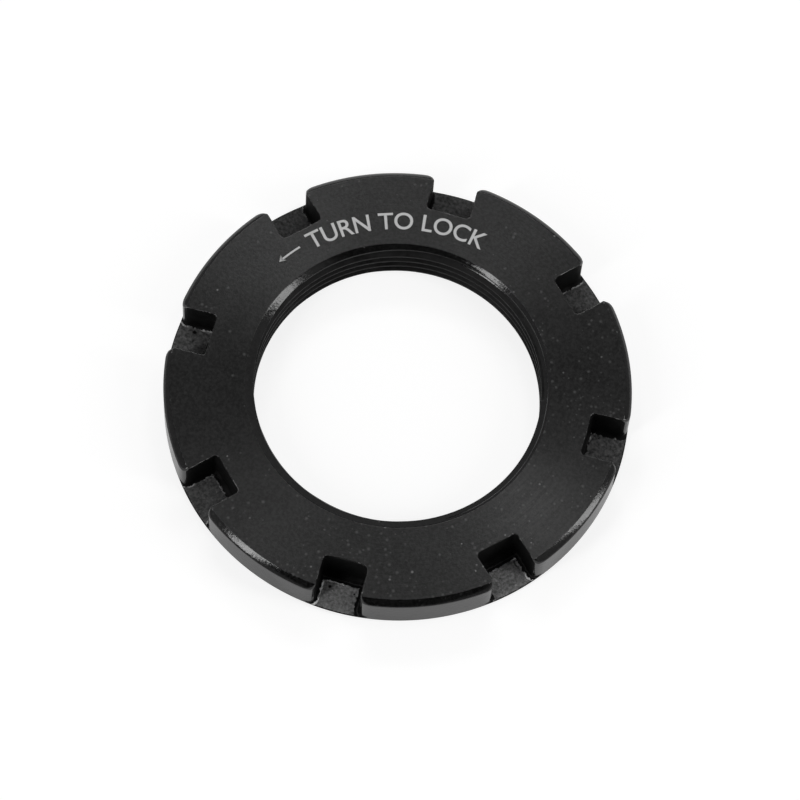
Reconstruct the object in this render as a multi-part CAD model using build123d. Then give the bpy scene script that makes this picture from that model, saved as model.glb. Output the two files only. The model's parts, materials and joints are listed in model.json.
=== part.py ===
from build123d import *
import math
import os

# A lock ring for a bicycle chainring, in millimetres.
# The origin is the centre of the underside, +Z runs up through the bore to the marked face,
# and one of the tool slots is centred on +X.

# Ring body
outer_diameter = 51.5
height = 5.5
rim_bevel_width = 0.7
rim_bevel_height = 0.6

# Threaded bore, M33 x 1.25 left-hand; the bore's wall stands at the thread's minor diameter
thread_diameter = 33.0
thread_pitch = 1.25
lead_in_margin = 0.65
underside_lead_in = 0.4
lead_in_slope = 30.0

# An internal 60 degree thread is this many pitches smaller across its crests than across its roots
crest_pitches = 1.0825

# Blind tool slots around the rim
slot_count = 8
slot_width = 5.0
slot_depth = 4.45
web_thickness = 0.7
slot_corner_radius = 0.6
slot_floor_radius = 0.55
tooth_corner_radius = 0.8

# How far a cutter runs past the surface that it opens
cutter_overrun = 1.0

outer_radius = outer_diameter / 2
bore_radius = (thread_diameter - crest_pitches * thread_pitch) / 2
mouth_radius = (thread_diameter + lead_in_margin) / 2
lead_in = mouth_radius - bore_radius
lead_in_rise = math.tan(math.radians(lead_in_slope))
slot_end_radius = outer_radius - slot_depth


def turned_blank():
    """The ring as it leaves the lathe: both faces, rim and bore, with their bevels, turned about Z."""
    half_section = Polyline(
        (bore_radius + underside_lead_in, 0),
        (outer_radius - rim_bevel_width, 0),
        (outer_radius, rim_bevel_height),
        (outer_radius, height - rim_bevel_height),
        (outer_radius - rim_bevel_width, height),
        (mouth_radius, height),
        (bore_radius, height - lead_in * lead_in_rise),
        (bore_radius, underside_lead_in * lead_in_rise),
        close=True,
    )
    return revolve(Plane.XZ * make_face(half_section), Axis.Z)


def slot_plan():
    """Plan of the slot on +X: square at its inner end, and flared where it opens at the rim."""
    half_width = slot_width / 2
    flare_edge = half_width + tooth_corner_radius
    flare_depth = math.sqrt(outer_radius**2 - flare_edge**2)
    beyond_rim = outer_radius + cutter_overrun
    beyond_flare = flare_edge + cutter_overrun
    plan = make_face(
        Polyline(
            (slot_end_radius, -half_width),
            (flare_depth, -half_width),
            (flare_depth, -beyond_flare),
            (beyond_rim, -beyond_flare),
            (beyond_rim, beyond_flare),
            (flare_depth, beyond_flare),
            (flare_depth, half_width),
            (slot_end_radius, half_width),
            close=True,
        )
    )
    inner_corners = plan.vertices().group_by(Axis.X)[0]
    plan = fillet(inner_corners, slot_corner_radius)
    flare_line = plan.vertices().filter_by_position(Axis.X, flare_depth, flare_depth)
    tooth_corners = flare_line.filter_by_position(Axis.Y, -half_width, half_width)
    return fillet(tooth_corners, tooth_corner_radius)


def slot_cutter():
    """The slot on +X as a solid, with a rounded foot where its walls meet the floor."""
    depth = height - web_thickness
    tool = Pos(0, 0, web_thickness) * extrude(slot_plan(), depth + cutter_overrun)
    foot = tool.edges().group_by(Axis.Z)[0]
    return fillet(foot, slot_floor_radius)


def lock_ring():
    """The turned blank, with its blind tool slots evenly spaced around the rim."""
    ring = turned_blank()
    cutter = slot_cutter()
    for index in range(slot_count):
        ring -= Rot(0, 0, index * 360 / slot_count) * cutter
    ring.label = "lock_ring"
    return ring


os.makedirs("parts", exist_ok=True)
export_step(lock_ring(), "parts/lock_ring.step")
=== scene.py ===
import json
import math
from collections import namedtuple

import bpy
import numpy as np
from bpy.props import FloatProperty, FloatVectorProperty, IntProperty, PointerProperty, StringProperty
from bpy.types import Operator, Panel, PropertyGroup
from mathutils import Matrix, Vector, noise


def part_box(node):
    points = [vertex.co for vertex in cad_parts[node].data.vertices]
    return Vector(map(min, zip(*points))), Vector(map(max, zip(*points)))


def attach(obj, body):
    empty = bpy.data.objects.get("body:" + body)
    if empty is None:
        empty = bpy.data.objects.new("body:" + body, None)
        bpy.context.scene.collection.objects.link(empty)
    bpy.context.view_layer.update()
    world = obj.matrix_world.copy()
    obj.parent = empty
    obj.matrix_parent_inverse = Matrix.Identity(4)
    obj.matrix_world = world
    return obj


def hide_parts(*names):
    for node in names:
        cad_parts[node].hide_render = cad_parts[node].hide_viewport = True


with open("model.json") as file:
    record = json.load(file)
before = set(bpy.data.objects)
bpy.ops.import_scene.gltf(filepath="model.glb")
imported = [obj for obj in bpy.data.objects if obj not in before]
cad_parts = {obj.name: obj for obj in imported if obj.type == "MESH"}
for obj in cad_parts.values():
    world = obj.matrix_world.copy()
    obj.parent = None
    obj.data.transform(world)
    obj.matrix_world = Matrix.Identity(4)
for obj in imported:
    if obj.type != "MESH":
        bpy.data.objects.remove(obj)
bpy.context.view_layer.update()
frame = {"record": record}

bl_info = {
    "name": "Chainring lock ring",
    "version": (1, 0, 0),
    "blender": (4, 5, 0),
    "location": "3D View > Sidebar > Lock Ring",
    "description": "Builds a lock ring with blind tool slots, its marking and a small studio",
    "category": "Object",
}

MM = 0.001

# The solid's own box and bore set the sizes that the ring starts from
LOW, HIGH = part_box("lock_ring")
MOUNTS = {mount["name"]: mount for mount in frame["record"]["mounts"]}
BORE = MOUNTS["threaded_bore"]["dims"]


# Sizes, colours and lights that a user may change

def length(name, description, default):
    """A length property, given in millimetres and held in metres."""
    return FloatProperty(name=name, description=description, default=default * MM, min=0.0,
                         precision=5, unit="LENGTH", subtype="DISTANCE")


def angle(name, description, default):
    """An angle property, given in degrees and held in radians."""
    return FloatProperty(name=name, description=description, default=math.radians(default),
                         unit="ROTATION", subtype="ANGLE")


def share(name, description, default):
    """A property from 0 to 1."""
    return FloatProperty(name=name, description=description, default=default, min=0.0, max=1.0,
                         subtype="FACTOR")


def level(name, description, default):
    """A brightness, where a white paper in it looks white at 1."""
    return FloatProperty(name=name, description=description, default=default, min=0.0)


def colour(name, description, default):
    """A colour property, in linear values."""
    return FloatVectorProperty(name=name, description=description, default=default, min=0.0, max=1.0,
                               size=3, subtype="COLOR")


class RingSizes(PropertyGroup):
    """Sizes of the steel ring."""
    outer_diameter: length("Outer diameter", "Across the rim", (HIGH.x - LOW.x) / MM)
    height: length("Height", "From the underside to the marked face", (HIGH.z - LOW.z) / MM)
    bore_diameter: length("Bore diameter", "Across the crests of the thread", 2 * BORE["r_mm"])
    thread_diameter: length("Thread diameter", "Across the roots of the thread", 33.0)
    thread_pitch: length("Thread pitch", "Distance between neighbouring turns", 1.25)
    crest_angle: angle("Crest angle", "Where round the bore a crest stands at the crest height", 100.0)
    crest_height: length("Crest height", "Height of one crest at the crest angle", 4.16)
    mouth_diameter: length("Mouth diameter", "Across the lead-in cone at the marked face", 33.65)
    underside_lead_in: length("Underside lead-in", "Width of the lead-in cone at the underside", 0.4)
    lead_in_slope: angle("Lead-in slope", "Angle of both lead-in cones to the faces", 30.0)
    rim_bevel_width: length("Rim bevel width", "Bevel at the rim, measured along both faces", 0.7)
    rim_bevel_height: length("Rim bevel height", "Bevel at the rim, measured along the rim", 0.6)
    rim_bevel_bulge: length("Rim bevel bulge", "How far the rim's bevel swells past a flat one", 0.06)
    slot_count: IntProperty(name="Slot count", description="Tool slots around the rim", default=8,
                            min=3, max=24)
    slot_width: length("Slot width", "Between a slot's side walls", 5.0)
    slot_depth: length("Slot depth", "From the rim to a slot's inner wall", 4.45)
    web_thickness: length("Web thickness", "Metal left under the slots", 0.7)
    slot_corner: length("Slot corner radius", "Inner corners of a slot in plan", 0.45)
    slot_foot: length("Slot foot radius", "Where a slot's walls meet its floor", 0.55)
    tooth_corner: length("Tooth corner radius", "Where a slot opens at the rim", 0.8)
    tooth_nose: length("Tooth nose", "How far the corner between flare and rim is rounded", 0.42)
    edge_break: length("Edge break", "Width of the worn bevel on the sharp edges", 0.028)
    floor_relief: length("Floor relief", "Height of the lumps on the forged slot floors", 0.07)
    floor_step: length("Floor step", "How far the forged floor stands above the path round it", 0.03)
    web_round: length("Web rounding", "Rounded outer edge of the slot floors", 0.1)


class RingFinish(PropertyGroup):
    """Colours and finish of the blackened steel."""
    oxide: colour("Black oxide", "Blackened steel where it was machined", (0.0057, 0.0057, 0.0057))
    scale: colour("Forged scale", "Grey scale on the slot floors", (0.075, 0.075, 0.075))
    steel: colour("Bare steel", "Steel that shows through in specks and along edges", (0.335, 0.335, 0.335))
    face_roughness: share("Face roughness", "Roughness of the turned faces", 0.33)
    face_stretch: share("Face stretch", "How far the turning marks draw out the gloss of the faces", 0.8)
    rim_roughness: share("Rim roughness", "Roughness of the rim and the bevels", 0.1)
    wall_roughness: share("Wall roughness", "Roughness of the slot walls", 0.6)
    scale_roughness: share("Scale roughness", "Roughness of the forged floors", 0.62)
    thread_roughness: share("Thread roughness", "Roughness of the cut thread", 0.5)
    edge_wear: share("Edge wear", "How much bare steel shows along the edges", 0.55)


class MarkingSettings(PropertyGroup):
    """The pale words and arrow on the upper face."""
    words: StringProperty(name="Words", description="Words that run round the face", default="TURN TO LOCK")
    cap_height: length("Letter height", "Height of the capitals", 1.95)
    baseline_radius: length("Baseline radius", "Distance of the letters' feet from the axis", 18.63)
    start_angle: angle("Start angle", "Where the first letter begins", 135.7)
    end_angle: angle("End angle", "Where the last letter ends", 75.6)
    stroke: length("Arrow stroke", "Width of the arrow's lines", 0.22)
    thickness: length("Thickness", "Height of the marking on the face", 0.01)
    ink: colour("Marking colour", "Pale marking on the black face", (0.62, 0.62, 0.62))


class StageSettings(PropertyGroup):
    """Floor, lights and camera."""
    floor_radius: length("Floor radius", "Radius of the pale floor", 4000.0)
    floor_colour: colour("Floor colour", "Colour of the pale floor", (0.9, 0.9, 0.9))
    white_share: share("White share", "Part of the floor's white that no shadow takes away", 0.8)
    shadow_share: share("Shadow share", "Paint that carries the shadow on the white floor", 0.30)
    mirrored_share: share("Mirrored white", "How much of the white floor the steel mirrors", 0.3)
    low_level: level("Low level", "Brightness of the room near the horizon", 0.31)
    high_level: level("High level", "Brightness of the room overhead", 2.2)
    face_level: level("Face level", "Brightness of the part that the ring's face mirrors", 0.155)
    dark_level: level("Dark level", "Brightness of the dark part on the camera's side", 0.02)
    lamp_level: level("Lamp level", "Brightness of all the soft lamps", 1.0)
    camera_distance: length("Camera distance", "From the camera to the point that it looks at", 493.423)
    camera_aim: FloatVectorProperty(name="Camera aim", description="Point that the camera looks at", size=3,
                                    default=(0.32946 * MM, 0.15398 * MM, 0.64095 * MM), precision=6,
                                    unit="LENGTH", subtype="TRANSLATION")
    camera_azimuth: angle("Camera azimuth", "Turn of the camera round the ring", 10.6)
    camera_elevation: angle("Camera elevation", "Height of the camera above the horizon", 68.0216)
    camera_roll: angle("Camera roll", "Tilt of the picture", 4.7862)
    camera_lens: FloatProperty(name="Camera lens", description="Focal length on a 36 mm sensor",
                               default=200.526, min=1.0, subtype="DISTANCE_CAMERA")


# Mesh of the ring

FACE, RIM, WALL, FLOOR, THREAD = range(5)

# Columns of the mesh along one slot and one tooth
FLARE_STEPS = (0.0, 0.25, 0.5, 0.75, 1.0)
NOSE_STEPS = (0.25, 0.5, 0.75, 1.0)
SIDE_COLUMNS = 14
CORNER_COLUMNS = 4
END_COLUMNS = 16
TOOTH_COLUMNS = 28
TOOTH_STEPS = np.linspace(0, 1, TOOTH_COLUMNS + 1)

# What follows from those: columns of a slot's lip, points in its outline, the last of them, the middle one of
# its inner corner, points of a slot with the tooth after it, and for each slot the points of a bore row
LIP_COLUMNS = len(FLARE_STEPS) + len(NOSE_STEPS) - 1
SLOT_POINTS = 2 * (LIP_COLUMNS + SIDE_COLUMNS + CORNER_COLUMNS) + END_COLUMNS + 1
LAST = SLOT_POINTS - 1
CORNER_MIDDLE = LIP_COLUMNS + SIDE_COLUMNS + CORNER_COLUMNS // 2
SECTOR_POINTS = SLOT_POINTS + TOOTH_COLUMNS - 1
BORE_POINTS = END_COLUMNS + CORNER_COLUMNS + TOOTH_COLUMNS

# The forged floor of a slot: how pale it is painted, which is painted light standing in for how much light
# falls on that floor, its distance in millimetres from the slot's inner wall, clockwise side and anticlockwise
# side, and how rubbed its border is on those two sides
FloorLook = namedtuple("FloorLook", "pale, end_gap, first_gap, second_gap, first_rub, second_rub")

# Floors of the slots, from the slot on +X anticlockwise
FLOOR_LOOKS = (
    FloorLook(1.1, 0.42, 0.3, 0.45, 0.3, 0.3),
    FloorLook(1.0, 0.6, 0.3, 0.45, 0.2, 0.9),
    FloorLook(0.85, 0.6, 0.3, 0.3, 0.2, 0.2),
    FloorLook(0.85, 0.8, 0.3, 0.3, 0.6, 0.2),
    FloorLook(1.1, 0.35, 0.3, 0.3, 0.6, 0.3),
    FloorLook(1.1, 0.7, 0.3, 0.3, 0.5, 0.7),
    FloorLook(2.6, 1.15, 0.3, 0.65, 0.85, 0.1),
    FloorLook(2.7, 1.15, 0.3, 0.5, 0.0, 0.8),
)

# Pits in the slot floors: the slot's number, and in millimetres the distance from the axis, the place across
# the slot and the radius
FLOOR_PITS = (
    (6, 23.07, -1.35, 0.2),
    (6, 23.24, 1.46, 0.11),
    (4, 23.65, -0.68, 0.09),
    (4, 23.75, -1.75, 0.25),
)

# Rows of points at the mouth of the bore: distance out from it and depth below the face, in millimetres, wear
# all round, and further wear on the nicked stretch
MOUTH_ROWS = (
    (0.25, 0.0, 0.05, 0.75),
    (0.1, 0.0, 0.1, 0.85),
    (0.03, 0.0, 0.15, 0.85),
    (0.002, 0.01, 0.2, 0.8),
    (-0.02, 0.03, 0.1, 0.8),
)

# How near the mouths the bore's mesh joins them, and how far down from the face the bore is turned smooth
SEAM_MARGIN = 0.02 * MM
SMOOTH_DEPTH = 0.8 * MM

# Middle and width of the nicked stretch of the mouth, as angles round the bore in radians
NICKED_ANGLE = 0.7
NICKED_WIDTH = 0.4

# Middle of the painted highlight on the face, a patch of bare steel colour, in millimetres
SHEEN_SPOT = (17.0, -9.8, 5.5)


def place_object(name, data):
    """A new object in the scene."""
    piece = bpy.data.objects.new(name, data)
    bpy.context.scene.collection.objects.link(piece)
    return piece


def mark_points(mesh, label, values):
    """Keeps one value for each point of a mesh, under a name that materials can read."""
    mesh.attributes.new(label, "FLOAT", "POINT").data.foreach_set("value", values)


def lump(x, y, z):
    """Smooth noise from -1 to 1 at a point."""
    return noise.noise(Vector((x, y, z)))


def turn(points, a):
    """Plan points turned about the axis."""
    c, s = math.cos(a), math.sin(a)
    return points @ np.array(((c, s), (-s, c)))


def round_plan(r, a):
    """Plan points from their distances from the axis and their angles."""
    return np.stack((r * np.cos(a), r * np.sin(a)), axis=1)


def arc(start, end, steps):
    """Plan points on an arc about the axis, from one point to another."""
    a0, a1 = math.atan2(start[1], start[0]), math.atan2(end[1], end[0])
    if a1 < a0:
        a1 += 2 * math.pi
    r0, r1 = np.linalg.norm(start), np.linalg.norm(end)
    return round_plan(r0 + (r1 - r0) * steps, a0 + (a1 - a0) * steps)


def lifted(plan, z):
    """Plan points at a height, or at a height each."""
    return np.column_stack((plan, np.broadcast_to(z, (len(plan),))))


def fade():
    """1 along a slot's walls, falling to 0 at its two rim corners."""
    i = np.arange(SLOT_POINTS)
    edge = np.minimum(i, i[::-1])
    return np.clip((edge - len(NOSE_STEPS)) / (len(FLARE_STEPS) + 1), 0.0, 1.0)


def slot_sides(at):
    """Places in the outline of a slot's inner wall, and of each side wall from there out to the rim.

    At is the place of the slot's first point. The clockwise side wall comes before the other.
    """
    inner = np.arange(at + CORNER_MIDDLE, at + LAST - CORNER_MIDDLE + 1)
    return inner, np.arange(inner[0], at - 1, -1), np.arange(inner[-1], at + LAST + 1)


def patch_grid(inner, outer, left, right):
    """Plan points that fill a four-sided patch from its edges, in rows from the inner to the outer edge."""
    u = np.linspace(0, 1, len(inner))[None, :, None]
    v = np.linspace(0, 1, len(left))[:, None, None]
    ends = (1 - v) * inner[None] + v * outer[None]
    sides = (1 - u) * left[:, None] + u * right[:, None]
    corners = ((1 - u) * (1 - v) * inner[0] + u * (1 - v) * inner[-1]
               + (1 - u) * v * outer[0] + u * v * outer[-1])
    return ends + sides - corners


def thread_profile(size):
    """Heights within one pitch and radii of a 60 degree thread, from the middle of a crest upward."""
    pitch = size.thread_pitch
    crest, root = size.bore_diameter / 2, size.thread_diameter / 2
    flank_start = pitch / 8
    flank, rise = (root - crest) * math.tan(math.radians(30)), root - crest
    soft = 0.035 * MM
    side = [
        (0.0, crest),
        (flank_start - soft, crest),
        (flank_start + soft * 0.35, crest + soft * 0.35),
        (flank_start + soft, crest + soft * 1.4),
        (flank_start + flank * 0.4, crest + rise * 0.4),
        (flank_start + flank * 0.7, crest + rise * 0.7),
        (flank_start + flank * 0.92, crest + rise * 0.91),
        (flank_start + flank + 0.03 * MM, root - 0.01 * MM),
    ]
    other = [(pitch - z, r) for z, r in side[:0:-1]]
    return side + [(pitch / 2, root)] + other


class Skin:
    """Points and faces of one closed surface, gathered row by row."""

    def __init__(self):
        self.points = []
        self.marks = {"wear": [], "forged": [], "painted_floor_light": [], "rub_and_sheen": []}
        self.faces = []
        self.finish = []

    def add(self, points, wear=0.0, forged=-1.0, painted_floor_light=1.0, rub_and_sheen=0.0):
        """Adds an (n, 3) array of points and returns their numbers.

        Wear is how worn an edge is, forged how far, in millimetres, a point lies inside a forged floor,
        the next value how pale that floor is painted, as painted light for how much light falls on it, and the
        last how bare its border is rubbed.
        """
        first = sum(len(part) for part in self.points)
        self.points.append(points)
        for name, value in (("wear", wear), ("forged", forged), ("painted_floor_light", painted_floor_light), ("rub_and_sheen", rub_and_sheen)):
            self.marks[name].append(np.broadcast_to(value, (len(points),)))
        return np.arange(first, first + len(points))

    def face(self, corners, finish):
        """Adds one face, and leaves out corners that stand on the same point."""
        kept = [int(c) for i, c in enumerate(corners) if c != corners[i - 1]]
        if len(set(kept)) > 2:
            self.faces.append(kept)
            self.finish.append(finish)

    def strip(self, first, second, finish, closed=True):
        """Joins two rows of the same length. Finish is one number or one for each column."""
        count = len(first) if closed else len(first) - 1
        finishes = np.broadcast_to(finish, (count,))
        for i in range(count):
            j = (i + 1) % len(first)
            self.face((first[i], second[i], second[j], first[j]), int(finishes[i]))

    def object(self, name, materials):
        """Makes the mesh object, smooth shaded, with its marks kept on the points."""
        mesh = bpy.data.meshes.new(name)
        mesh.from_pydata(np.concatenate(self.points).tolist(), [], self.faces)
        mesh.polygons.foreach_set("material_index", self.finish)
        mesh.polygons.foreach_set("use_smooth", [True] * len(self.faces))
        for label, values in self.marks.items():
            mark_points(mesh, label, np.concatenate(values))
        mesh.validate()
        for material in materials:
            mesh.materials.append(material)
        return place_object(name, mesh)


class RingSkin(Skin):
    """The skin of the whole ring, built part by part from its sizes."""

    def __init__(self, size, face_drop):
        super().__init__()
        self.size = size
        self.count = size.slot_count
        self.radius = size.outer_diameter / 2
        self.top = size.height - face_drop
        self.shoulder = size.height - size.rim_bevel_height
        self.mouth = size.mouth_diameter / 2
        self.lower_mouth = size.bore_diameter / 2 + size.underside_lead_in
        half, tooth = size.slot_width / 2, size.tooth_corner
        self.flare_x = math.sqrt(self.radius ** 2 - (half + tooth) ** 2) - tooth
        i = np.arange(BORE_POINTS * self.count)
        self.bore_angles = (i - (END_COLUMNS + CORNER_COLUMNS) / 2) * 2 * math.pi / len(i)

        # Uneven widths of the worn edges, uneven feet of the walls, and walls that aren't quite flat
        worn, foot, swell = size.edge_break, size.slot_foot, 0.035 * MM
        self.edge = self.uneven(2.0, 0.55, worn, 0.5 * worn, 2.2 * worn)
        self.foot = self.uneven(31.0, 0.21, foot, 0.6 * foot, 1.5 * foot)
        self.bulge = self.uneven(57.0, 0.13, 0.0, -swell, swell)

        # One slot's inner corner is fuller than the others
        full_slot = self.count * 3 // 4
        from_corner = np.arange(SLOT_POINTS) - (LAST - CORNER_MIDDLE)
        self.bulge[full_slot] += 0.16 * MM * np.exp(-(from_corner / 3.0) ** 2)

        self.looks = [FLOOR_LOOKS[k % len(FLOOR_LOOKS)] for k in range(self.count)]
        # Painted light: each slot's floor is painted paler or darker, standing in for the light that falls on
        # it
        self.painted_floor_light = self.along_slots([np.full(SLOT_POINTS, look.pale) for look in self.looks], 1.0)
        rubs = [np.linspace(look.first_rub, look.second_rub, SLOT_POINTS) for look in self.looks]
        self.rub_and_sheen = self.along_slots(rubs, 0.0)
        self.rows, self.plans = [], []

    def slot_angle(self, k):
        """Angle of a slot's middle from +X."""
        return k * 2 * math.pi / self.count

    def uneven(self, seed, scale, plain, low, high):
        """A size that varies smoothly along every slot's wall and is plain at its rim corners."""
        rows = []
        for k in range(self.count):
            row = np.array([0.5 + lump(i * scale, seed + 7.3 * k, 0.4) for i in range(SLOT_POINTS)])
            rows.append(plain + (low + (high - low) * np.clip(row, 0.0, 1.0) - plain) * fade())
        return rows

    def along_slots(self, value, elsewhere):
        """One value for each slot point and another for each tooth point, in the outline's order."""
        return np.concatenate([part for k in range(self.count)
                               for part in (value[k], np.full(TOOTH_COLUMNS - 1, elsewhere))])

    def slot_lip(self, inset, rim):
        """Plan of the flare and the rounded nose at the anticlockwise rim corner of the slot on +X."""
        tooth = self.size.tooth_corner
        centre = np.array((self.flare_x, self.size.slot_width / 2 + tooth))
        reach = np.linalg.norm(centre)
        along = (rim ** 2 + reach ** 2 - (tooth + inset) ** 2) / (2 * reach)
        across = math.sqrt(max(rim ** 2 - along ** 2, 0.0))
        line = centre / reach
        corner = along * line + across * np.array((line[1], -line[0]))
        stop = math.atan2(corner[1] - centre[1], corner[0] - centre[0])
        stop = max(stop - self.size.tooth_nose / (tooth + inset), -math.pi / 2 + 0.1)
        points, ways = [], []
        for step in FLARE_STEPS:
            a = -math.pi / 2 + (stop + math.pi / 2) * step
            ways.append(np.array((math.cos(a), math.sin(a))))
            points.append(centre + (tooth + inset) * ways[-1])
        before = points[-1]
        after = turn(corner[None], self.size.tooth_nose / rim)[0]
        for step in NOSE_STEPS:
            points.append((1 - step) ** 2 * before + 2 * step * (1 - step) * corner + step ** 2 * after)
            ways.append(ways[-1])
        return points, ways

    def slot_wall(self, inset, rim):
        """Plan of the slot on +X, from its clockwise rim corner inward and out to its other one.

        Inset moves the wall into the slot, and rim is the ring's radius at that height.
        Returns the points and the directions that lead from the metal into the slot.
        """
        half, corner = self.size.slot_width / 2, self.size.slot_corner
        end = self.radius - self.size.slot_depth
        points, ways = [], []
        for i in range(END_COLUMNS // 2):
            points.append((end + inset, (half - corner) * i / (END_COLUMNS / 2)))
            ways.append((1.0, 0.0))
        for i in range(CORNER_COLUMNS):
            a = math.pi - math.pi / 2 * i / CORNER_COLUMNS
            x, y = math.cos(a), math.sin(a)
            points.append((end + corner + (corner - inset) * x, half - corner + (corner - inset) * y))
            ways.append((-x, -y))
        for i in range(SIDE_COLUMNS):
            points.append((end + corner + (self.flare_x - end - corner) * i / SIDE_COLUMNS, half - inset))
            ways.append((0.0, -1.0))
        lip_points, lip_ways = self.slot_lip(inset, rim)
        points, ways = np.array(points + lip_points), np.array(ways + lip_ways)
        mirror = np.array((1.0, -1.0))
        return np.concatenate((points[:0:-1] * mirror, points)), np.concatenate((ways[:0:-1] * mirror, ways))

    def outline(self, inset, rim, extra):
        """The ring's whole outline in plan at one height, slot by slot.

        Extra is a further inset for every point of every slot.
        """
        wall, ways = self.slot_wall(inset, rim)
        slots = [turn(wall + ways * extra[k][:, None], self.slot_angle(k)) for k in range(self.count)]
        parts = []
        for shape, following in zip(slots, slots[1:] + slots[:1]):
            parts += [shape, arc(shape[-1], following[0], TOOTH_STEPS)[1:-1]]
        return np.concatenate(parts)

    def relaxed(self, start, radius, share_even):
        """A ring row at a radius, whose angles lie between those of a start row and even ones."""
        given = np.arctan2(start[:, 1], start[:, 0])
        given = self.bore_angles + (given - self.bore_angles + math.pi) % (2 * math.pi) - math.pi
        return round_plan(radius, given + (self.bore_angles - given) * share_even)

    def rim_radius(self, z):
        """Radius of the rim at a height, with the convex bevel at the marked face."""
        t = np.linspace(0, 1, 33)
        wide, tall = self.size.rim_bevel_width, self.size.rim_bevel_height
        swell = self.size.rim_bevel_bulge * np.sin(math.pi * t) / math.hypot(wide, tall)
        heights = self.size.height - tall * t + wide * swell
        radii = self.radius - wide * (1 - t) + tall * swell
        return float(np.interp(-z, -heights, radii))

    def floor_depth(self, plan, k):
        """How many millimetres points lie inside a slot's forged floor, negative in the path round it."""
        look, half, tooth = self.looks[k], self.size.slot_width / 2, self.size.tooth_corner
        plan = turn(plan, -self.slot_angle(k))
        x, y = plan[:, 0], np.abs(plan[:, 1])
        on_flare = np.hypot(x - self.flare_x, half + tooth - y) - tooth
        from_side = np.where(x > self.flare_x, on_flare, half - y)
        from_end = x - (self.radius - self.size.slot_depth)
        margin = np.where(plan[:, 1] < 0, look.first_gap, look.second_gap) * MM
        return np.minimum(from_end - look.end_gap * MM, from_side - margin) / MM

    def floor_heights(self, plan, forged, k, toward_rim):
        """Heights of floor points: the forged part is lumpy and stands a step above the path round it."""
        lumps = np.array([0.6 * lump(x * 0.75, y * 0.75, 5.0 + k) + 0.4 * lump(x * 1.9, y * 1.9, 9.0 + k)
                          for x, y in plan / MM])
        step = np.clip(forged / 0.12 + 0.5, 0.0, 1.0)
        rough = np.clip(forged / 0.4 + 0.3, 0.0, 1.0)
        relief = self.size.floor_relief * lumps * rough * (0.35 + 0.65 * toward_rim)
        return self.size.web_thickness + step * self.size.floor_step + relief

    def wall_row(self, inset, rim, z, extra, slot_wear=0.0, tooth_wear=0.0):
        """Adds a row of points all along the outline."""
        plan = self.outline(inset, rim, extra)
        wear = self.along_slots([np.full(SLOT_POINTS, slot_wear)] * self.count, tooth_wear)
        slots = [plan[k * SECTOR_POINTS:k * SECTOR_POINTS + SLOT_POINTS] for k in range(self.count)]
        forged = self.along_slots([self.floor_depth(slot, k) for k, slot in enumerate(slots)], -1.0)
        self.plans.append(plan)
        self.rows.append(self.add(lifted(plan, z), wear, forged, self.painted_floor_light, self.rub_and_sheen))

    def upper_edge(self):
        """Rows over the worn upper edge and down the bevel to the rim."""
        top, cut, hold = self.top, self.size.edge_break, 0.09 * MM
        outward = [b - (e - cut) for b, e in zip(self.bulge, self.edge)]
        halfway = [b - 0.3 * (e - cut) for b, e in zip(self.bulge, self.edge)]
        height = self.along_slots(self.edge, cut)
        rim_top = self.rim_radius(top)
        self.wall_row(-cut - hold, rim_top - hold, top, outward, 0.3, 0.05)
        self.wall_row(-cut, rim_top - 0.5 * cut, top, outward, 0.85, 0.45)
        self.wall_row(-0.3 * cut, self.rim_radius(top - 0.3 * cut), top - 0.3 * height, halfway, 0.8, 0.45)
        self.wall_row(0.0, self.rim_radius(top - cut), top - height, self.bulge, 0.55)
        for share_down in (0.3, 0.55, 0.8, 0.93):
            z = top - share_down * (top - self.shoulder)
            self.wall_row(0.0, self.rim_radius(z), z, self.bulge)
        self.wall_row(0.0, self.radius - 0.01 * MM, self.shoulder + 0.01 * MM, self.bulge, 0.0, 0.5)

    def walls(self):
        """Rows down the rim, the slot walls and the walls' feet, and the faces between all rows so far."""
        web, foot = self.size.web_thickness, self.size.slot_foot
        start, stop = self.shoulder - 0.25 * MM, web + 1.55 * foot
        self.wall_row(0.0, self.radius, self.shoulder - 0.03 * MM, self.bulge)
        for step in np.linspace(0, 1, 6):
            self.wall_row(0.0, self.radius, start + (stop - start) * step, self.bulge)
        foot_rows = len(self.rows)
        for a in np.radians((0, 15, 30, 45, 60, 75, 90)):
            flat, rise = 1 - math.cos(a), 1 - math.sin(a)
            extra = [b + (f - foot) * flat for b, f in zip(self.bulge, self.foot)]
            height = self.along_slots([web + f * rise for f in self.foot], web + foot * rise)
            self.wall_row(foot * flat, self.radius, height, extra)

        along = np.arange(LAST)
        on_lip = np.minimum(along, along[::-1]) < LIP_COLUMNS - 2
        tooth = np.full(TOOTH_COLUMNS, RIM)
        plain = np.tile(np.append(np.where(on_lip, RIM, WALL), tooth), self.count)
        forged = np.tile(np.append(np.full(LAST, FLOOR), tooth), self.count)

        # From the face over the worn edge and down the walls to their feet
        for i, (upper, lower) in enumerate(zip(self.rows, self.rows[1:])):
            finish = FACE if i == 0 else RIM if i < 3 else plain if i < foot_rows + 1 else forged
            self.strip(upper, lower, finish)

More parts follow.
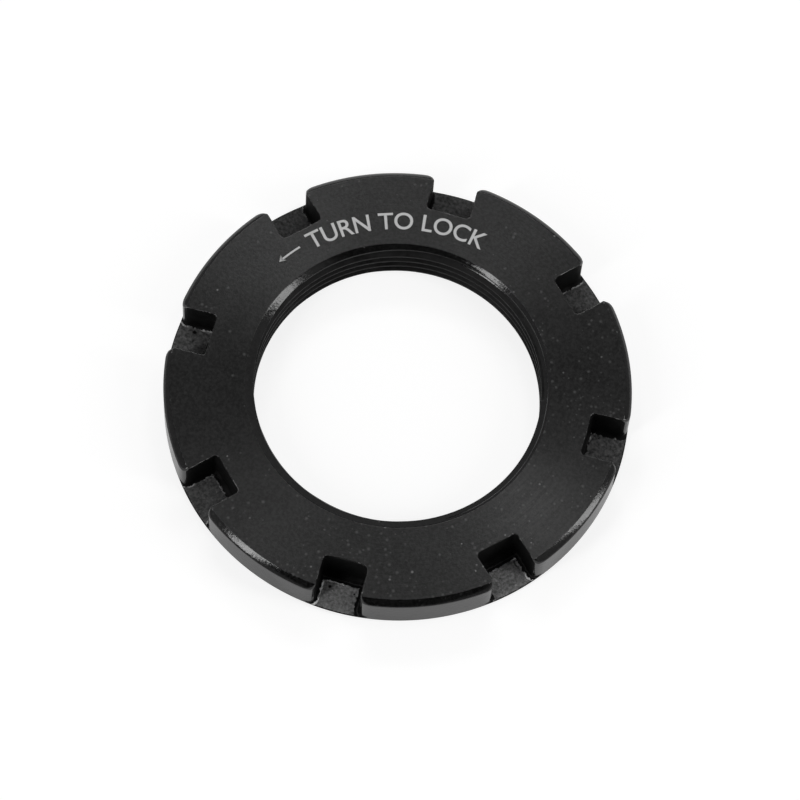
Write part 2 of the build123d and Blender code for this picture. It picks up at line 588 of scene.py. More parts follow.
    def teeth(self):
        """Upper faces of the teeth, each a patch between two slots. Returns the row at their inner ends."""
        plan, row = self.plans[0], self.rows[0]
        inner_row, inner_plan = [], []
        for k in range(self.count):
            at, after = k * SECTOR_POINTS, (k + 1) % self.count * SECTOR_POINTS
            end_wall, _, left = slot_sides(at)
            right = slot_sides(after)[1]
            tooth = np.append(np.arange(at + LAST, at + SECTOR_POINTS), after)
            inner = arc(plan[left[0]], plan[right[0]], TOOTH_STEPS)
            grid = patch_grid(inner, plan[tooth], plan[left], plan[right])
            numbers = np.empty(grid.shape[:2], int)
            numbers[:, 0], numbers[:, -1], numbers[-1] = row[left], row[right], row[tooth]
            beside_slot = np.zeros(grid.shape[1] - 2)
            beside_slot[[0, 1, -2, -1]] = (0.2, 0.1, 0.1, 0.2)
            for v in range(len(grid) - 1):
                numbers[v, 1:-1] = self.add(lifted(grid[v, 1:-1], self.top), beside_slot)
            for first, second in zip(numbers, numbers[1:]):
                self.strip(first, second, FACE, closed=False)
            inner_row += [row[end_wall], numbers[0, 1:-1]]
            inner_plan += [plan[end_wall], inner[1:-1]]
        return np.concatenate(inner_row), np.concatenate(inner_plan)

    def upper_face(self, inner_row, inner_plan):
        """The upper face from the slots in to the mouth of the bore. Returns its last row."""
        rows = [inner_row]
        radii = np.linspace(self.radius - self.size.slot_depth - 0.55 * MM, self.mouth + 0.5 * MM, 5)
        for n, r in enumerate(radii):
            plan = self.relaxed(inner_plan, r, (n + 1) / len(radii))
            rows.append(self.add(lifted(plan, self.top)))
        nicks = np.exp(-((self.bore_angles - NICKED_ANGLE) / NICKED_WIDTH) ** 2)
        for out, depth, wear, nicked in MOUTH_ROWS:
            plan = self.relaxed(inner_plan, self.mouth + out * MM, 1.0)
            rows.append(self.add(lifted(plan, self.top - depth * MM), wear + nicked * nicks))
        for outward, inward in zip(rows, rows[1:]):
            self.strip(inward, outward, FACE)
        return rows[-1]

    def floors(self):
        """Rough floors of the slots. Returns the row along the web's edge, its plan and how round it is."""
        plan, row = self.plans[-1], self.rows[-1]
        edge_row, edge_plan, rounding = [], [], []
        for k, look in enumerate(self.looks):
            at = k * SECTOR_POINTS
            inner, left, right = slot_sides(at)
            steps = np.linspace(0, 1, len(inner))
            inward = np.minimum(np.minimum(steps, 1 - steps) * 10, 1) * self.size.web_round
            outer = arc(plan[left[-1]], plan[right[-1]], steps) * (1 - inward / self.radius)[:, None]
            grid = patch_grid(plan[inner], outer, plan[left], plan[right])
            numbers = np.empty(grid.shape[:2], int)
            numbers[0], numbers[:, 0], numbers[:, -1] = row[inner], row[left], row[right]
            rub_and_sheen = look.first_rub + (look.second_rub - look.first_rub) * steps[1:-1]
            for v in range(1, len(grid)):
                points = grid[v, 1:-1]
                forged = self.floor_depth(points, k)
                heights = self.floor_heights(points, forged, k, min(len(grid) - 1 - v, 4) / 4)
                numbers[v, 1:-1] = self.add(lifted(points, heights), 0.0, forged, look.pale, rub_and_sheen)
            for first, second in zip(numbers, numbers[1:]):
                self.strip(first, second, FLOOR, closed=False)
            tooth = np.arange(at + LAST + 1, at + SECTOR_POINTS)
            edge_row += [numbers[-1], row[tooth]]
            edge_plan += [grid[-1], plan[tooth]]
            rounding += [inward, np.zeros(len(tooth))]
        return np.concatenate(edge_row), np.concatenate(edge_plan), np.concatenate(rounding)

    def underside(self, edge_row, edge_plan, rounding):
        """Edge of the web, lower bevel and underside in to the lower mouth. Returns its last row."""
        radius, web, lower_mouth = self.radius, self.size.web_thickness, self.lower_mouth
        wide, tall = self.size.rim_bevel_width, self.size.rim_bevel_height
        rows = [edge_row]
        for flat, drop in ((0.38, 0.08), (0.08, 0.38)):
            plan = self.relaxed(edge_plan, radius - rounding * flat, 0.0)
            rows.append(self.add(lifted(plan, web - 0.01 * MM - rounding * drop)))

        # Each row's radius, height, wear and share of even angles
        around = [(radius, web - 0.07 * MM, 0.0, 0.0),
                  (radius - 0.004 * MM, tall + 0.005 * MM, 0.2, 0.0),
                  (radius - 0.05 * wide, 0.93 * tall, 0.0, 0.0),
                  (radius - 0.45 * wide, 0.5 * tall, 0.0, 0.0),
                  (radius - 0.93 * wide, 0.05 * tall, 0.0, 0.0),
                  (radius - wide, 0.008 * MM, 0.7, 0.0),
                  (radius - wide - 0.05 * MM, 0.0, 0.0, 0.0)]
        radii = np.linspace(radius - wide - 1.0 * MM, lower_mouth + 0.25 * MM, 6)
        around += [(r, 0.0, 0.0, (n + 1) / len(radii)) for n, r in enumerate(radii)]
        around += [(lower_mouth + 0.1 * MM, 0.0, 0.0, 1.0),
                   (lower_mouth + 0.035 * MM, 0.0, 0.5, 1.0),
                   (lower_mouth + 0.002 * MM, 0.01 * MM, 0.7, 1.0),
                   (lower_mouth - 0.02 * MM, 0.03 * MM, 0.4, 1.0)]
        for r, z, wear, even in around:
            rows.append(self.add(lifted(self.relaxed(edge_plan, r, even), z), wear))

        # The web's edge has the walls' finish at the slots; the rim's bevel and the underside follow it
        web_finish = np.where((rounding > 0) & (np.roll(rounding, -1) > 0), WALL, RIM)
        for n, (outward, inward) in enumerate(zip(rows, rows[1:])):
            self.strip(outward, inward, web_finish if n < 4 else RIM if n < 7 else FACE)
        return rows[-1]

    def bore(self, lower, upper):
        """The left-hand thread between the two mouths, wound on its helix and cut by the lead-in cones."""
        size, angles, pitch = self.size, self.bore_angles, self.size.thread_pitch
        low, high = 0.03 * MM, self.top - 0.03 * MM
        start = size.crest_height + pitch * (size.crest_angle / (2 * math.pi))
        first_turn = math.floor((low - start) / pitch) - 1
        turns = range(first_turn, first_turn + math.ceil((high - low) / pitch) + 3)
        profile = thread_profile(size)
        heights = np.array([start + n * pitch + z for n in turns for z, r in profile])
        radii = np.array([r for n in turns for z, r in profile])
        numbers = np.empty((len(heights), len(angles)), int)
        smooth = np.zeros(numbers.shape, bool)
        for j, a in enumerate(angles):
            z = heights - pitch * a / (2 * math.pi)
            numbers[z <= low + SEAM_MARGIN, j] = lower[j]
            numbers[z >= high - SEAM_MARGIN, j] = upper[j]
            inside = (z > low + SEAM_MARGIN) & (z < high - SEAM_MARGIN)
            cone = self.cone_radii(z, low, high)
            coned = (cone[:-1] > radii[:-1]) & (cone[1:] > radii[1:])
            smooth[:-1, j] = coned | (z[:-1] > high - SMOOTH_DEPTH)
            numbers[inside, j] = self.thread_column(a, z[inside], radii[inside], cone[inside])
        self.join_columns(numbers, smooth, len(profile), lower[0])

    def cone_radii(self, z, low, high):
        """Radii of the two lead-in cones at some heights, whichever is the wider."""
        flat = 1 / math.tan(self.size.lead_in_slope)
        return np.maximum(self.lower_mouth - (z - low) * flat, self.mouth - (high - z) * flat)

    def thread_column(self, a, z, radii, cone):
        """Adds the points of the bore at one angle, a little uneven, and worn where a cone cuts a crest."""
        ripple = np.array([lump(14 * a, v / MM * 1.7, 3.0) for v in z]) * 0.004 * MM
        r = np.maximum(radii, cone) + ripple
        on_crest = radii < self.size.bore_diameter / 2 + 0.1 * MM
        at_cone = np.exp(-((radii - cone) / (0.06 * MM)) ** 2) * on_crest
        points = np.column_stack((r * math.cos(a), r * math.sin(a), z))
        return self.add(points, (0.65 + 0.3 * math.sin(a)) * at_cone)

    def join_columns(self, numbers, smooth, per_turn, lowest):
        """Faces of the bore. Its last column joins the first one a turn further up."""
        for j in range(numbers.shape[1] - 1):
            for i in range(len(numbers) - 1):
                corners = (numbers[i, j], numbers[i + 1, j], numbers[i + 1, j + 1], numbers[i, j + 1])
                self.face(corners, RIM if smooth[i, j] and smooth[i, j + 1] else THREAD)
        last = numbers[:, -1]
        wrapped_row = np.concatenate((np.full(per_turn, lowest), numbers[:-per_turn, 0]))
        for i in range(len(numbers) - 1):
            finish = RIM if smooth[i, -1] else THREAD
            self.face((last[i], last[i + 1], wrapped_row[i + 1], wrapped_row[i]), finish)


def ring_mesh(size, materials, face_drop):
    """The whole ring as one closed skin."""
    skin = RingSkin(size, face_drop)
    skin.upper_edge()
    skin.walls()
    upper_mouth = skin.upper_face(*skin.teeth())
    lower_mouth = skin.underside(*skin.floors())
    skin.bore(lower_mouth, upper_mouth)
    return skin.object("steel_ring", materials)


# Shader node groups and materials

def grey(value):
    """A grey as a colour socket takes it."""
    return (value, value, value, 1.0)


def shade(colour, factor=1.0):
    """A colour property, darkened or lightened, as a colour socket takes it."""
    return (*(min(c * factor, 1.0) for c in colour), 1.0)


class Nodes:
    """Adds nodes to one tree. Each input is a value, or a socket to link from."""

    def __init__(self, tree):
        self.tree = tree

    def feed(self, socket, value):
        """Links a socket, or sets its value."""
        if isinstance(value, bpy.types.NodeSocket):
            self.tree.links.new(value, socket)
        else:
            socket.default_value = value

    def add(self, kind, inputs=None, **settings):
        """Adds a shader node of some kind."""
        made = self.tree.nodes.new("ShaderNode" + kind)
        for key, value in settings.items():
            setattr(made, key, value)
        for key, value in (inputs or {}).items():
            self.feed(made.inputs[key], value)
        return made

    def maths(self, operation, first, *others):
        """The result of Math nodes that take in one value after another."""
        for other in others:
            first = self.add("Math", {0: first, 1: other}, operation=operation).outputs[0]
        return first

    def plus(self, *values):
        return self.maths("ADD", *values)

    def times(self, *values):
        return self.maths("MULTIPLY", *values)

    def largest(self, *values):
        return self.maths("MAXIMUM", *values)

    def vectors(self, operation, first, second):
        """The outputs of a Vector Math node."""
        return self.add("VectorMath", {0: first, 1: second}, operation=operation).outputs

    def scaled(self, colour, factor):
        """A colour times a factor."""
        return self.add("VectorMath", {0: colour, "Scale": factor}, operation="SCALE").outputs[0]

    def remap(self, value, low, high, to_low=0.0, to_high=1.0, shape="SMOOTHSTEP"):
        """A value moved from one range to another, and held inside it."""
        inputs = {"Value": value, "From Min": low, "From Max": high, "To Min": to_low, "To Max": to_high}
        return self.add("MapRange", inputs, interpolation_type=shape).outputs["Result"]

    def blend(self, factor, first, second):
        """Two colours mixed by a factor."""
        return self.add("Mix", {0: factor, 6: first, 7: second}, data_type="RGBA").outputs[2]

    def point(self):
        """The point being shaded, in the object's own space."""
        return self.add("TexCoord").outputs["Object"]

    def mark(self, name):
        """A value kept on the mesh's points."""
        return self.add("Attribute", attribute_name=name).outputs["Fac"]

    def noise(self, point, scale, detail, roughness=0.5):
        """Smooth noise round 0.5."""
        inputs = {"Vector": point, "Scale": scale, "Detail": detail, "Roughness": roughness}
        return self.add("TexNoise", inputs).outputs["Fac"]

    def group(self, name, **values):
        """Places the shared group of that name with its own values, and returns its outputs."""
        tree = bpy.data.node_groups.get(name) or GROUP_BUILDERS[name](name)
        inputs = {label.replace("_", " ").capitalize(): value for label, value in values.items()}
        return self.add("Group", inputs, node_tree=tree).outputs


class Surface(Nodes):
    """Nodes of a new material that feed its Principled BSDF."""

    def __init__(self, name):
        self.material = bpy.data.materials.new(name)
        self.material.use_nodes = True
        super().__init__(self.material.node_tree)
        self.shader = self.tree.nodes["Principled BSDF"]

    def set(self, label, value):
        """Feeds one input of the shader."""
        self.feed(self.shader.inputs[label], value)

    def colour(self, base, bare, steel, metallic):
        """Sets the colour: a base, with bare steel where the mask says so."""
        self.set("Base Color", self.blend(bare, base, steel))
        self.set("Metallic", self.times(bare, metallic))

    def bump(self, relief, strength, depth):
        """Lets a height stand out of the surface. Depth is how far, in millimetres, a height of 1 does."""
        inputs = {"Height": relief, "Strength": strength, "Distance": depth * MM}
        self.set("Normal", self.add("Bump", inputs).outputs["Normal"])


def new_group(name, inputs, outputs):
    """A shader node group with named inputs and outputs. Returns its nodes and the sockets at both ends."""
    tree = bpy.data.node_groups.new(name, "ShaderNodeTree")
    for label, value in inputs.items():
        socket = tree.interface.new_socket(name=label, in_out="INPUT", socket_type="NodeSocketFloat")
        socket.default_value = value
    for label in outputs:
        tree.interface.new_socket(name=label, in_out="OUTPUT", socket_type="NodeSocketFloat")
    return Nodes(tree), tree.nodes.new("NodeGroupInput").outputs, tree.nodes.new("NodeGroupOutput").inputs


def turning_marks_group(name):
    """Fine rings left by the lathe, deep on flat faces and faint on bevels."""
    nodes, start, end = new_group(name, {"Lines per metre": 8000.0, "Waviness": 0.6}, ["Height"])
    x, y, z = nodes.add("SeparateXYZ", {0: nodes.point()}).outputs
    across = nodes.maths("POWER", nodes.plus(nodes.times(x, x), nodes.times(y, y)), 0.5)
    line = nodes.times(nodes.maths("SUBTRACT", across, nodes.times(z, 0.83)), start["Lines per metre"])

    # The lines run round the axis, and break up into arcs along the way
    round_x, round_y = (nodes.times(nodes.maths("DIVIDE", part, across), 10.0) for part in (x, y))
    arcs = nodes.add("CombineXYZ", {0: line, 1: round_x, 2: round_y}).outputs[0]
    coarse = nodes.times(nodes.noise(arcs, 0.3, 1.0), start["Waviness"])
    facing = nodes.add("SeparateXYZ", {0: nodes.add("TexCoord").outputs["Normal"]}).outputs["Z"]
    flat = nodes.remap(facing, 0.88, 0.99, 0.25, 1.0)
    nodes.feed(end["Height"], nodes.times(nodes.plus(nodes.noise(arcs, 1.0, 2.0), coarse), flat))
    return nodes.tree


def mottle_group(name):
    """Cloudy unevenness of the blackening, coarse and fine."""
    nodes, start, end = new_group(name, {"Scale": 260.0, "Low": 0.35, "High": 0.65}, ["Mask", "Fine"])
    cloud = nodes.noise(nodes.point(), start["Scale"], 6.0, 0.62)
    nodes.feed(end["Mask"], nodes.remap(cloud, start["Low"], start["High"], shape="LINEAR"))
    nodes.feed(end["Fine"], nodes.noise(nodes.point(), nodes.times(start["Scale"], 3.0), 3.0, 0.7))
    return nodes.tree


def specks_group(name):
    """Tiny spots where bare metal shows, gathered in patches and mostly toward +X and -Y."""
    sizes = {"Scale": 1500.0, "Size": 0.16, "Share": 0.3, "Near edges": 3.0}
    nodes, start, end = new_group(name, sizes, ["Mask"])
    point = nodes.point()
    cells = nodes.add("TexVoronoi", {"Vector": point, "Scale": start["Scale"]}, feature="F1").outputs

    # Three random numbers for each cell: whether it holds a spot, how wide that is and how bright
    pick, width, bright = nodes.add("SeparateColor", {0: cells["Color"]}).outputs
    patches = nodes.remap(nodes.noise(point, 170.0, 2.0), 0.4, 0.65, 0.1, 1.0)
    toward = nodes.vectors("DOT_PRODUCT", point, (26.0, -26.0, 0.0))["Value"]
    gathered = nodes.times(nodes.plus(patches, nodes.times(nodes.mark("wear"), start["Near edges"])),
                           nodes.remap(toward, -0.5, 0.5, 0.12, 1.0), start["Share"])
    chosen = nodes.maths("LESS_THAN", pick, gathered)
    radius = nodes.times(start["Size"], nodes.remap(width, 0.0, 1.0, 0.35, 1.0))
    spot = nodes.remap(nodes.maths("DIVIDE", cells["Distance"], radius), 0.1, 1.0, 1.0, 0.0)
    nodes.feed(end["Mask"], nodes.times(chosen, spot, nodes.remap(bright, 0.0, 1.0, 0.25, 1.0)))
    return nodes.tree


def edge_wear_group(name):
    """Broken lines of bare metal along the edges, from the wear kept on the mesh."""
    nodes, start, end = new_group(name, {"Amount": 0.5, "Scale": 1300.0}, ["Mask"])
    point = nodes.point()
    chips = nodes.times(nodes.noise(point, start["Scale"], 4.0, 0.7), 0.7)
    cover = nodes.plus(chips, nodes.times(nodes.noise(point, 210.0, 2.0), 0.3))
    near = nodes.times(nodes.remap(nodes.mark("wear"), 0.25, 0.9), cover)
    threshold = nodes.maths("SUBTRACT", 0.74, nodes.times(start["Amount"], 0.3))
    nodes.feed(end["Mask"], nodes.remap(near, threshold, nodes.plus(threshold, 0.06), shape="LINEAR"))
    return nodes.tree


GROUP_BUILDERS = {"Turning marks": turning_marks_group, "Mottle": mottle_group,
                  "Specks": specks_group, "Edge wear": edge_wear_group}

# What sets the turned faces and the rim apart: how light the palest blackening is, how bright the soft specks
# are, the wear beyond that of the faces, and the depth of the grain in millimetres
TurnedLook = namedtuple("TurnedLook", "name, palest, specks, more_wear, depth")
FACE_LOOK = TurnedLook("Turned face", 3.0, 0.15, 0.0, 0.03)
RIM_LOOK = TurnedLook("Turned rim", 1.5, 0.04, 0.2, 0.021)


def turned_oxide(finish, look, roughness, stretch):
    """Black oxide on lathe-turned steel, with a painted highlight round one spot of the face. Stretch is how
    far the turning marks draw out its gloss.
    """
    coat = Surface(look.name)
    mottle = coat.group("Mottle", scale=900.0, low=0.36, high=0.66)
    cloud = coat.group("Mottle", scale=230.0, low=0.34, high=0.66)
    marks = coat.group("Turning marks", lines_per_metre=8000.0, waviness=0.8)
    soft = coat.group("Specks", scale=1800.0, size=0.5, share=1.0, near_edges=5.0)
    bright = coat.group("Specks", scale=1400.0, size=0.3, share=0.1, near_edges=14.0)
    wear = coat.group("Edge wear", amount=finish.edge_wear + look.more_wear, scale=1000.0)

    grain = coat.times(coat.remap(mottle["Fine"], 0.36, 0.64), 0.65)
    clouds = coat.plus(coat.times(mottle["Mask"], 0.2), coat.times(cloud["Mask"], 0.3))
    base = coat.blend(coat.plus(grain, clouds), shade(finish.oxide, 0.02), shade(finish.oxide, look.palest))
    # Painted highlight: a patch of bare steel colour round one spot of the face, streaked along the turning
    # marks
    away = coat.vectors("DISTANCE", coat.point(), [c * MM for c in SHEEN_SPOT])["Value"]
    sheen_streaks = coat.remap(marks["Height"], 0.7, 1.1, 0.3, 1.0)
    rub_and_sheen = coat.times(coat.remap(away, 1.0 * MM, 7.0 * MM, 0.055, 0.0), sheen_streaks)
    spots = coat.largest(coat.times(soft["Mask"], look.specks), coat.times(bright["Mask"], 0.7))
    coat.colour(base, coat.largest(spots, rub_and_sheen, wear["Mask"]), shade(finish.steel), 0.3)

    coat.set("Roughness", coat.remap(mottle["Mask"], 0.0, 1.0, roughness + 0.02, roughness - 0.02))
    if stretch:
        coat.set("Anisotropic", stretch)
        coat.set("Anisotropic Rotation", 0.25)
        coat.set("Tangent", coat.add("Tangent", direction_type="RADIAL", axis="Z").outputs["Tangent"])
    coat.bump(coat.plus(coat.times(marks["Height"], 0.3), coat.times(mottle["Fine"], 0.7)), 1.0, look.depth)
    return coat.material


def slot_wall_oxide(finish):
    """Black oxide on the plain walls of the slots."""
    coat = Surface("Slot wall oxide")
    mottle = coat.group("Mottle", scale=420.0, low=0.36, high=0.66)
    specks = coat.group("Specks", scale=1300.0, size=0.15, share=0.12)
    wear = coat.group("Edge wear", amount=finish.edge_wear, scale=1400.0)
    base = coat.blend(mottle["Mask"], shade(finish.oxide, 0.5), shade(finish.oxide, 1.3))
    coat.colour(base, coat.largest(coat.times(specks["Mask"], 0.5), wear["Mask"]), shade(finish.steel), 0.8)
    rough = finish.wall_roughness
    coat.set("Roughness", coat.remap(mottle["Mask"], 0.0, 1.0, rough - 0.05, rough + 0.1))
    coat.set("Specular IOR Level", 0.06)
    coat.bump(mottle["Fine"], 0.5, 0.012)
    return coat.material


def floor_pits(coat, size):
    """A mask of the round pits in the slot floors."""
    flat = coat.vectors("MULTIPLY", coat.point(), (1.0, 1.0, 0.0))["Vector"]
    hollow = 0.0
    for slot, inward, across, wide in FLOOR_PITS:
        place = turn(np.array((inward * MM, across * MM)), 2 * math.pi * slot / size.slot_count)
        gap = coat.vectors("DISTANCE", flat, (*place, 0.0))["Value"]
        hollow = coat.largest(coat.remap(gap, 0.5 * wide * MM, 1.2 * wide * MM, 1.0, 0.0), hollow)
    return hollow


def floor_border(coat, ragged, painted_floor_light, broken):
    """A mask of a forged floor's border, rubbed bare in places, and of a faint painted highlight line a little
    outside it.
    """
    border = coat.times(coat.remap(ragged, -0.09, -0.03), coat.remap(ragged, 0.05, 0.11, 1.0, 0.0))
    # Painted highlight: a faint bare line along the ridge just outside the border, only on the palest painted
    # floors
    painted_ridge_highlight = coat.times(coat.remap(ragged, -0.48, -0.36), coat.remap(ragged, -0.36, -0.24, 1.0, 0.0))
    faint = coat.remap(painted_floor_light, 1.2, 2.4, 0.0, 0.03)
    return coat.largest(coat.times(border, broken), coat.times(painted_ridge_highlight, faint))


def forged_scale(finish, size):
    """Rough grey scale on the slot floors, with pits and rubbed spots, and black oxide round it. The pits are
    painted shade, and each floor's scale and bare steel are painted paler or darker as painted light.
    """
    coat = Surface("Forged scale")
    mottle = coat.group("Mottle", scale=3000.0, low=0.36, high=0.66)
    cloud = coat.group("Mottle", scale=800.0, low=0.36, high=0.66)
    specks = coat.group("Specks", scale=1900.0, size=0.4, share=0.6)
    wear = coat.group("Edge wear", amount=finish.edge_wear, scale=1000.0)
    painted_floor_light, hollow = coat.mark("painted_floor_light"), floor_pits(coat, size)

    # Where the scale lies, with a ragged border
    unsure = coat.times(coat.maths("SUBTRACT", mottle["Mask"], 0.5), 0.16)
    ragged = coat.plus(coat.mark("forged"), unsure)
    forged = coat.remap(ragged, -0.04, 0.05)
    broken = coat.remap(coat.plus(cloud["Mask"], coat.mark("rub_and_sheen")), 0.9, 1.2)

    rough = coat.blend(mottle["Mask"], shade(finish.scale, 0.45), shade(finish.scale, 1.75))
    rough = coat.blend(coat.times(cloud["Mask"], 0.4), rough, shade(finish.scale))
    # Painted light: each floor's scale colour is scaled paler or darker for the light that falls on that floor
    base = coat.blend(forged, shade(finish.oxide, 0.6), coat.scaled(rough, painted_floor_light))
    # Painted shade: the pits are painted nearly black, for the shade in them
    with_painted_pit_shade = coat.blend(hollow, base, grey(0.002))
    spots = coat.times(specks["Mask"], 0.6, forged)
    bare = coat.largest(spots, wear["Mask"], floor_border(coat, ragged, painted_floor_light, broken))
    # The bare steel is scaled by the same painted light, a painted glint on the palest floors
    coat.colour(with_painted_pit_shade, bare, coat.scaled(finish.steel, painted_floor_light), 0.15)

    coat.set("Roughness", coat.blend(forged, grey(finish.wall_roughness), grey(finish.scale_roughness)))
    coat.set("Specular IOR Level", 0.08)
    grain = coat.plus(mottle["Mask"], coat.times(mottle["Fine"], 0.4))
    grain = coat.times(grain, coat.plus(coat.times(forged, 0.92), 0.08))
    coat.bump(coat.maths("SUBTRACT", grain, coat.times(hollow, 2.0)), 0.5, 0.04)
    return coat.material


def cut_thread(finish):
    """Black oxide on the cut thread, with fine marks along the turns."""
    coat = Surface("Cut thread")
    mottle = coat.group("Mottle", scale=900.0, low=0.36, high=0.64)
    marks = coat.group("Turning marks", lines_per_metre=9000.0, waviness=0.3)
    wear = coat.group("Edge wear", amount=0.6, scale=1500.0)
    grain = coat.times(coat.plus(mottle["Mask"], mottle["Fine"]), 0.5)
    base = coat.blend(grain, shade(finish.oxide, 0.1), shade(finish.oxide, 2.6))
    coat.colour(base, wear["Mask"], shade(finish.steel), 0.8)
    rough = finish.thread_roughness
    coat.set("Roughness", coat.remap(mottle["Mask"], 0.0, 1.0, rough - 0.06, rough + 0.1))
    coat.set("Specular IOR Level", 0.15)
    coat.bump(coat.plus(marks["Height"], coat.times(mottle["Fine"], 0.6)), 0.6, 0.02)
    return coat.material


def pale_marking(settings):
    """Pale, slightly grainy marking."""
    coat = Surface("Pale marking")
    mottle = coat.group("Mottle", scale=900.0, low=0.3, high=0.7)
    grain = coat.plus(coat.times(mottle["Mask"], 0.5), coat.times(mottle["Fine"], 0.5))
    ink = coat.blend(grain, shade(settings.ink, 0.86), shade(settings.ink, 1.08))
    coat.set("Base Color", coat.blend(coat.mark("strength"), grey(0.01), ink))
    coat.set("Roughness", coat.remap(mottle["Fine"], 0.3, 0.7, 0.55, 0.75))
    coat.bump(mottle["Fine"], 0.3, 0.004)
    return coat.material


# Marking

# Height of a capital in the font at size 1, and how far its strokes are thickened
FONT_CAPITAL = 0.682
FONT_WEIGHT = 0.008

# The arrow as distances from the axis in millimetres and angles in degrees: both ends of its curved shaft, and
# its head's tip, outer barb, notch and inner barb
ARROW_SHAFT = ((19.6, 138.9), (19.57, 146.3))
ARROW_HEAD = ((19.55, 147.4), (20.1, 145.45), (19.56, 146.0), (19.18, 145.2))

# How pale the head is at each of those corners, from faint at 0 to full at 1
HEAD_STRENGTH = (0.9, 0.35, 0.9, 0.35)


def word_mesh(settings):
    """The words as a flat mesh along +X, with the capitals' height and the run between the two angles."""
    text = bpy.data.curves.new("marking_words", "FONT")
    text.body = settings.words
    text.offset = FONT_WEIGHT
    holder = place_object("marking_words", text)
    bpy.context.view_layer.update()
    flat = bpy.data.meshes.new_from_object(holder.evaluated_get(bpy.context.evaluated_depsgraph_get()))
    points = np.array([v.co for v in flat.vertices])[:, :2]
    faces = [list(p.vertices) for p in flat.polygons]
    bpy.data.objects.remove(holder)
    bpy.data.curves.remove(text)
    bpy.data.meshes.remove(flat)
    points[:, 0] -= points[:, 0].min()
    run = settings.baseline_radius * abs(settings.start_angle - settings.end_angle)
    return points * np.array((run / points[:, 0].max(), settings.cap_height / FONT_CAPITAL)), faces


def wrapped(points, settings):
    """Flat points laid round the face, so that X runs clockwise and Y points to the rim."""
    a = settings.start_angle - points[:, 0] / settings.baseline_radius
    return round_plan(settings.baseline_radius + points[:, 1], a)


def stroke_outline(path, width):
    """Corner points of a line of some width along a path of plan points, with square ends."""
    along = np.diff(path, axis=0)
    along /= np.linalg.norm(along, axis=1)[:, None]
    side = np.stack((-along[:, 1], along[:, 0]), axis=1)
    joints = [side[0]] + [(a + b) / (1 + a @ b) for a, b in zip(side, side[1:])] + [side[-1]]
    offset = np.array(joints) * width / 2
    return np.concatenate((path + offset, (path - offset)[::-1]))


def upward(corners):
    """Whether a flat face turns anticlockwise, seen from above."""
    following = np.roll(corners, -1, axis=0)
    return float(np.sum(corners[:, 0] * following[:, 1] - following[:, 0] * corners[:, 1])) > 0


def polar_points(rows):
    """Plan points from their distances from the axis in millimetres and their angles in degrees."""
    rows = np.array(rows)
    return round_plan(rows[:, 0] * MM, np.radians(rows[:, 1]))


def marking_mesh(settings, top, material):
    """Words and arrow as one thin piece that lies on the face."""
    points, faces = word_mesh(settings)
    shaft = polar_points(np.linspace(*ARROW_SHAFT, 8))
    stroke, head = stroke_outline(shaft, settings.stroke), polar_points(ARROW_HEAD)
    first, last = len(points), len(points) + len(stroke) - 1
    faces += [[first + i, last - i, last - 1 - i, first + i + 1] for i in range(len(shaft) - 1)]
    tip = last + 1
    faces += [[tip, tip + 1, tip + 2], [tip, tip + 2, tip + 3]]
    plan = np.concatenate((wrapped(points, settings), stroke, head))
    strength = np.append(np.ones(tip), HEAD_STRENGTH)
    faces = [face if upward(plan[face]) else face[::-1] for face in faces]
    mesh = bpy.data.meshes.new("turning_marking")
    mesh.from_pydata(lifted(plan, top).tolist(), [], faces)
    mark_points(mesh, "strength", strength)
    mesh.materials.append(material)
    piece = place_object("turning_marking", mesh)
    body = piece.modifiers.new("Thickness", "SOLIDIFY")
    body.thickness = settings.thickness
    body.offset = -1.0
    return piece


# Stage

FLOOR_SIDES = 96

# Rings of the floor's mesh, as parts of its radius
FLOOR_RINGS = (0.02, 0.06, 0.15, 0.4, 1.0)

# Each lamp's name, angle round the ring from the picture's right, angle above the floor, distance, width,
# height and brightness
LAMPS = (
    ("lamp_behind", 88, 45, 0.65, 0.34, 0.11, 5.0),
    ("lamp_behind_left", 112, 47, 0.65, 0.1, 0.14, 5.5),
    ("lamp_over_right", 21, 71, 0.65, 0.1, 0.12, 6.0),
    ("lamp_over_left", 162, 72, 0.65, 0.08, 0.1, 3.8),
    ("lamp_right", -11, 27, 0.6, 0.12, 0.5, 6.0),
    ("lamp_left", -140.5, 33, 0.6, 0.1, 0.5, 8.0),
)


def floor_piece(settings):
    """A wide round floor just under the ring."""
    around = np.linspace(0, 2 * math.pi, FLOOR_SIDES, endpoint=False)
    rings = [round_plan(settings.floor_radius * part, around) for part in FLOOR_RINGS]
    points = lifted(np.concatenate([np.zeros((1, 2))] + rings), -0.01 * MM)
    faces = []
    for i in range(FLOOR_SIDES):
        j = (i + 1) % FLOOR_SIDES
        faces.append((0, 1 + i, 1 + j))
        for a in range(1, 1 + FLOOR_SIDES * (len(rings) - 1), FLOOR_SIDES):
            b = a + FLOOR_SIDES
            faces.append((a + i, b + i, b + j, a + j))
    mesh = bpy.data.meshes.new("studio_floor")
    mesh.from_pydata(points.tolist(), [], faces)
    mesh.materials.append(floor_material(settings))
    return place_object("studio_floor", mesh)


